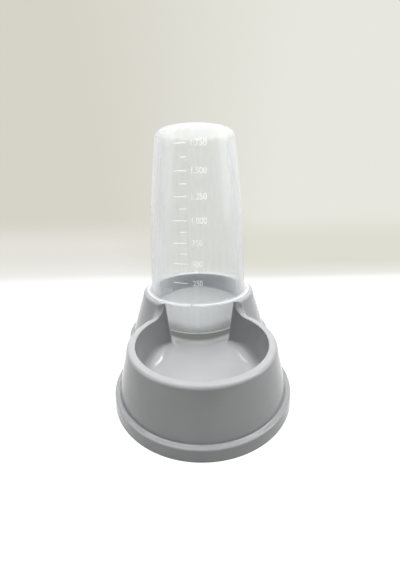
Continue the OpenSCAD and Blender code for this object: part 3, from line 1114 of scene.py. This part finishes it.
    def build_lug(self, name: str, angle: float) -> Piece:
        """Makes one lug of the twist lock on the skirt.

        Args:
            name: The lug's name.
            angle: Its middle about the tower's axis.

        Returns:
            The lug's object.
        """
        low, high, r = self.lug_z, self.lug_z + self.lug_h, self.lug_r
        edge, bevel, half = self.lug_edge, self.lug_bevel, self.lug_span / 2
        inner = self._skirt_r((low + high) / 2) - self.lug_sunk
        loop = [(inner, low), (r - edge, low), (r - bevel, low + bevel), (r, low + edge),
                (r, high - edge), (r - bevel, high - bevel), (r - edge, high), (inner, high)]
        points, faces = bent_bar(loop, angle - half, angle + half, self.lug_steps, TOWER_Y)
        return mesh_object(name, np.array(points) * MM, faces, 35)

    def dress(self, pieces: list[Piece], finish: MilkyPolypropylene) -> None:
        """Gives pieces of the bottle their finish and their place in the frame.

        Args:
            pieces: The pieces.
            finish: The milky or frosted finish.
        """
        material = finish.make()
        for piece in pieces:
            piece.data.materials.append(material)
            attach(piece, "bottle")


@dataclass
class RaisedScale:
    """The raised scale on the bottle's front: long and short marks, and a number beside each long one."""

    low_z: float = 100.0
    high_z: float = 249.4
    crowd: float = 0.1
    numbers: tuple[str, ...] = ("250", "500", "750", "1.000", "1.250", "1.500", "1.750")
    end_at: float = -102.5
    long_span: float = 15.5
    short_span: float = 7.5
    line: float = 0.9
    bevel: tuple[float, float] = (0.12, 0.15)
    raise_by: float = 0.35
    sunk: float = 0.2
    text_at: float = -96.4
    text_h: float = 6.6
    digit_w: float = 3.7
    dot_w: float = 1.7

    def heights(self) -> list[float]:
        """Gives the heights of all marks, long and short in turn, from the lowest up.

        Returns:
            The heights, a little closer together in the lower half, where the bottle is wider.
        """
        count = len(self.numbers)
        shares = [i / 2 / (count - 1) for i in range(2 * count - 1)]
        return [self.low_z + (self.high_z - self.low_z) * t * (1 - self.crowd * (1 - t)) for t in shares]

    def build_marks(self, bottle: MeasuringBottle) -> Piece:
        """Makes all marks as one piece: bars with a bevelled front, bent round the bottle.

        Args:
            bottle: The bottle that carries them.

        Returns:
            The marks' object.
        """
        points, faces = [], []
        deep, side = self.bevel
        for i, z in enumerate(self.heights()):
            span = self.short_span if i % 2 else self.long_span
            low, high = bottle.radius(z) - self.sunk, bottle.radius(z) + self.raise_by
            bottom, top = z - self.line / 2, z + self.line / 2
            loop = [(low, bottom), (high - deep, bottom), (high, bottom + side),
                    (high, top - side), (high - deep, top), (low, top)]
            more, sides = bent_bar(loop, self.end_at - span, self.end_at, max(4, round(span)), TOWER_Y)
            faces += [tuple(v + len(points) for v in face) for face in sides]
            points += more
        return mesh_object("scale_marks", np.array(points) * MM, faces, 30)

    def build_number(self, bottle: MeasuringBottle, text: str, z: float) -> Piece:
        """Makes one raised number, bent round the bottle.

        Args:
            bottle: The bottle that carries it.
            text: The number.
            z: Height of its middle.

        Returns:
            The number's object.
        """
        curve = bpy.data.curves.new("number", "FONT")
        curve.body = text
        curve.extrude = 0.1
        curve.resolution_u = 4
        holder = bpy.data.objects.new("number", curve)
        bpy.context.scene.collection.objects.link(holder)
        flat = bpy.data.meshes.new_from_object(holder.evaluated_get(bpy.context.evaluated_depsgraph_get()))
        at = np.array([vertex.co[:] for vertex in flat.vertices])
        faces = [tuple(face.vertices) for face in flat.polygons]
        bpy.data.objects.remove(holder)
        bpy.data.curves.remove(curve)
        bpy.data.meshes.remove(flat)
        low, high = at.min(0), at.max(0)
        dots = text.count(".")
        width = self.digit_w * (len(text) - dots) + self.dot_w * dots
        at = (at - low) / (high - low) * [width, self.text_h, self.raise_by + self.sunk]
        tall = z - self.text_h / 2 + at[:, 1]
        radius = np.array([bottle.radius(h) for h in tall]) - self.sunk + at[:, 2]
        turn = math.radians(self.text_at) + at[:, 0] / bottle.radius(z)
        points = np.stack([radius * np.cos(turn), TOWER_Y + radius * np.sin(turn), tall], 1)
        return mesh_object("number_" + text.replace(".", ""), points * MM, faces, 30)


# Studio


@dataclass(frozen=True)
class Lamp:
    """One soft rectangular lamp, with its place, the point it faces and its size in metres.

    A lamp that isn't mirrored doesn't show in gloss, and one that isn't diffuse shows nowhere else.
    """

    name: str
    at: tuple[float, float, float]
    aim: tuple[float, float, float]
    size: tuple[float, float]
    watts: float
    mirrored: bool = True
    diffuse: bool = True

    def hang(self) -> None:
        """Adds the lamp to the scene."""
        data = bpy.data.lights.new(self.name, "AREA")
        data.shape = "RECTANGLE"
        data.size, data.size_y = self.size
        data.energy = self.watts
        lamp = bpy.data.objects.new(self.name, data)
        lamp.location = self.at
        lamp.rotation_euler = (Vector(self.aim) - Vector(self.at)).to_track_quat("-Z", "Y").to_euler()
        lamp.visible_glossy = self.mirrored
        lamp.visible_diffuse = self.diffuse
        bpy.context.scene.collection.objects.link(lamp)


# A broad lamp overhead, one behind that lights the bottle through, two strips that only the gloss shows,
# and a weak lamp at each side
LAMPS = (
    Lamp("overhead", (0.06, 0.02, 1.3), (0.0, 0.0, 0.05), (0.4, 0.4), 28.5, mirrored=False),
    Lamp("behind", (0.0, 1.1, 0.45), (0.0, 0.05, 0.18), (1.2, 0.8), 21.0, mirrored=False),
    Lamp("left_strip", (-0.33, 0.1, 1.05), (0.0, 0.0, 0.05), (0.14, 0.5), 1.8, diffuse=False),
    Lamp("right_strip", (0.5, 0.1, 1.0), (0.0, 0.0, 0.05), (0.14, 0.5), 3.0, diffuse=False),
    Lamp("left_side", (-0.9, -0.2, 0.6), (0.0, 0.0, 0.08), (0.5, 0.8), 1.5),
    Lamp("right_side", (0.9, -0.1, 0.6), (0.0, 0.0, 0.08), (0.5, 0.8), 2.4),
)


@dataclass
class Studio:
    """The pale floor, the graded backdrop and the camera.

    Floor and backdrop show their tones to the camera and, on the floor, to gloss. A slant is X over the
    depth from the camera, and a slope is 1 over that depth in metres.
    """

    camera_at: tuple[float, float, float] = (-8.12, -301.51, 197.74)
    camera_turn: float = 1.75
    camera_pitch: float = 18.98
    camera_roll: float = -1.12
    focal_px: float = 262.0
    frame_w: int = 400
    frame_h: int = 570
    sensor_mm: float = 36.0
    clip_from: float = 10.0
    left_tone: str = "#d6d3c8"
    right_tone: str = "#e7e7df"
    white: str = "#ffffff"
    paper: str = "#b4b4b2"
    tone_slant: float = 0.3
    sky_front: float = 0.06
    sky_rear: float = 0.2
    mirror_rear: float = 1.0
    sky_depth: float = 0.7
    floor_half: float = 3000.0
    floor_white: float = 0.94
    shadow_grey: float = 0.12
    shadow_until: float = 0.5
    near_slope: float = 1.9
    until_slope: tuple[float, float] = (1.0, 1.25)
    fade_slope: tuple[float, float] = (0.9, 0.33)
    fade_most: tuple[float, float] = (0.68, 1.35)

    def camera(self) -> Piece:
        """Makes the camera at the photograph's view.

        Returns:
            The camera's object.
        """
        data = bpy.data.cameras.new("view")
        data.sensor_width = self.sensor_mm
        data.lens = self.focal_px * self.sensor_mm / max(self.frame_w, self.frame_h)
        data.clip_start = self.clip_from * MM
        made = bpy.data.objects.new("view", data)
        angles = (self.camera_turn, self.camera_pitch, self.camera_roll)
        turn, pitch, roll = (math.radians(angle) for angle in angles)
        level = math.cos(pitch)
        forward = Vector((math.sin(turn) * level, math.cos(turn) * level, -math.sin(pitch)))
        right = forward.cross(Vector((0, 0, 1))).normalized()
        upright = Matrix((right, right.cross(forward), -forward)).transposed()
        rolled = (upright @ Matrix.Rotation(roll, 3, "Z")).to_4x4()
        made.matrix_world = Matrix.Translation(Vector(self.camera_at) * MM) @ rolled
        bpy.context.scene.collection.objects.link(made)
        bpy.context.scene.camera = made
        return made

    def _across(self, tree: Tree, slant: Node | Socket) -> Node:
        """Adds a node that rises from 0 to 1 across the view, by the slant."""
        return add_node(tree, MAP_RANGE, {0: slant, FROM_LOW: -self.tone_slant, FROM_HIGH: self.tone_slant})

    def _sides(self, tree: Tree, across: Node) -> Socket:
        """Mixes the backdrop's left and right tones by a value from 0 to 1."""
        tones = {0: across, COLOUR_A: linear(self.left_tone), COLOUR_B: linear(self.right_tone)}
        return add_node(tree, MIX, tones, data_type="RGBA").outputs[COLOUR_OUT]

    def world(self) -> None:
        """Makes the soft sky light and the backdrop that rays see above the floor."""
        world = bpy.data.worlds.new("studio")
        bpy.context.scene.world = world
        world.use_nodes = True
        tree = world.node_tree
        tree.nodes.clear()
        seen = add_node(tree, "ShaderNodeLightPath").outputs
        way = add_node(tree, "ShaderNodeTexCoord").outputs["Generated"]
        split = add_node(tree, "ShaderNodeSeparateXYZ", {0: way}).outputs
        behind = self._sides(tree, self._across(tree, split["X"]))
        tone = add_node(tree, "ShaderNodeBackground", {"Color": behind, "Strength": 1.0})
        gloss = {0: seen["Is Glossy Ray"], TO_LOW: self.sky_rear, TO_HIGH: self.mirror_rear}
        rear = add_node(tree, MAP_RANGE, gloss)
        rise = {0: split["Y"], FROM_LOW: -self.sky_depth, FROM_HIGH: self.sky_depth}
        depth = add_node(tree, MAP_RANGE, rise | {TO_LOW: self.sky_front, TO_HIGH: rear})
        sky = add_node(tree, "ShaderNodeBackground", {"Color": linear(self.white), "Strength": depth})
        eyes = {0: seen["Is Camera Ray"], 1: seen["Is Transmission Ray"]}
        shown = add_node(tree, MATH, eyes, operation="MAXIMUM")
        both = add_node(tree, "ShaderNodeMixShader", {0: shown, 1: sky, 2: tone})
        add_node(tree, "ShaderNodeOutputWorld", {"Surface": both})

    def _floor_tone(self, tree: Tree) -> tuple[Socket, Node]:
        """Adds nodes for the floor's tone: white round the object, and the backdrop's further back.

        Args:
            tree: The node tree.

        Returns:
            Socket with the tone, and node with 0 on the white part, rising to 1 on the far part.
        """
        place = add_node(tree, "ShaderNodeTexCoord").outputs["Object"]
        split = add_node(tree, "ShaderNodeSeparateXYZ", {0: place}).outputs
        behind = {0: split["Y"], 1: -self.camera_at[1] * MM}
        depth = add_node(tree, MATH, behind, operation="ADD")
        slant = add_node(tree, MATH, {0: split["X"], 1: depth}, operation="DIVIDE")
        slope = add_node(tree, MATH, {0: 1.0, 1: depth}, operation="DIVIDE")
        across = self._across(tree, slant)
        until, most = (
            add_node(tree, MAP_RANGE, {0: across, TO_LOW: ends[0], TO_HIGH: ends[1]})
            for ends in (self.until_slope, self.fade_most))
        far_ends = {0: slope, FROM_LOW: self.near_slope, FROM_HIGH: until}
        far = add_node(tree, MAP_RANGE, far_ends, interpolation_type="SMOOTHSTEP")
        fade_ends = {0: slope, FROM_LOW: self.fade_slope[0], FROM_HIGH: self.fade_slope[1], TO_LOW: most}
        fade = add_node(tree, MAP_RANGE, fade_ends, interpolation_type="SMOOTHSTEP")
        deep = add_node(tree, MATH, {0: far, 1: fade}, operation="MULTIPLY")
        # on the right the tone goes past the backdrop's before it fades back, so the mix isn't clamped
        tones = {0: deep, COLOUR_A: linear(self.white), COLOUR_B: self._sides(tree, across)}
        tone = add_node(tree, MIX, tones, data_type="RGBA", clamp_factor=False)
        return tone.outputs[COLOUR_OUT], far

    def floor(self) -> Piece:
        """Makes the pale floor, which keeps the object's shadow.

        Returns:
            The floor's object.
        """
        half = self.floor_half * MM
        corners = np.array([(-half, -half, 0), (half, -half, 0), (half, half, 0), (-half, half, 0)])
        made = mesh_object("floor", corners, [(0, 1, 2, 3)], 40)
        material, tree = new_material("white_paper_floor")
        seen = add_node(tree, "ShaderNodeLightPath").outputs
        tone, far = self._floor_tone(tree)
        share = add_node(tree, MAP_RANGE, {0: far, TO_LOW: self.floor_white, TO_HIGH: 1.0})
        shine = add_node(tree, "ShaderNodeEmission", {"Color": tone, "Strength": share})
        # a little matt grey takes the object's shadow, on the white part only
        dark_ends = {0: far, FROM_HIGH: self.shadow_until, TO_LOW: self.shadow_grey, TO_HIGH: 0.0}
        dark = add_node(tree, MAP_RANGE, dark_ends)
        grey = add_node(tree, "ShaderNodeCombineColor", {0: dark, 1: dark, 2: dark})
        catch = add_node(tree, "ShaderNodeBsdfDiffuse", {"Color": grey})
        shown = add_node(tree, "ShaderNodeAddShader", {0: shine, 1: catch})
        paper = add_node(tree, "ShaderNodeBsdfDiffuse", {"Color": linear(self.paper)})
        eyes = seen["Is Camera Ray"]
        for ray in ("Is Transmission Ray", "Is Glossy Ray"):
            eyes = add_node(tree, MATH, {0: eyes, 1: seen[ray]}, operation="MAXIMUM")
        both = add_node(tree, "ShaderNodeMixShader", {0: eyes, 1: paper, 2: shown})
        add_node(tree, "ShaderNodeOutputMaterial", {"Surface": both})
        made.data.materials.append(material)
        return made


def main() -> None:
    """Builds every piece in order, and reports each."""
    logging.basicConfig(level=logging.INFO, format="%(name)s: %(message)s")
    bpy.context.scene.view_settings.view_transform = "Standard"
    studio = Studio()
    studio.camera()
    studio.world()
    studio.floor()
    for lamp in LAMPS:
        lamp.hang()
    housing = BaseHousing()
    base = housing.build()
    housing.dress(base, MouldedGreyPolypropylene())
    bottle = MeasuringBottle()
    milky = [bottle.build()]
    milky += [bottle.build_lug(name, angle) for name, angle in zip(("lug_rear", "lug_front"), LUG_ANGLES)]
    bottle.dress(milky, MilkyPolypropylene())
    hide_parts("bottle")
    scale = RaisedScale()
    raised = [scale.build_marks(bottle)]
    raised += [scale.build_number(bottle, text, z) for text, z in zip(scale.numbers, scale.heights()[::2])]
    bottle.dress(raised, FROSTED)
    for piece in [base, *milky, *raised]:
        log.info("%s: %d faces", piece.name, len(piece.data.polygons))


if __name__ == "__main__":
    main()
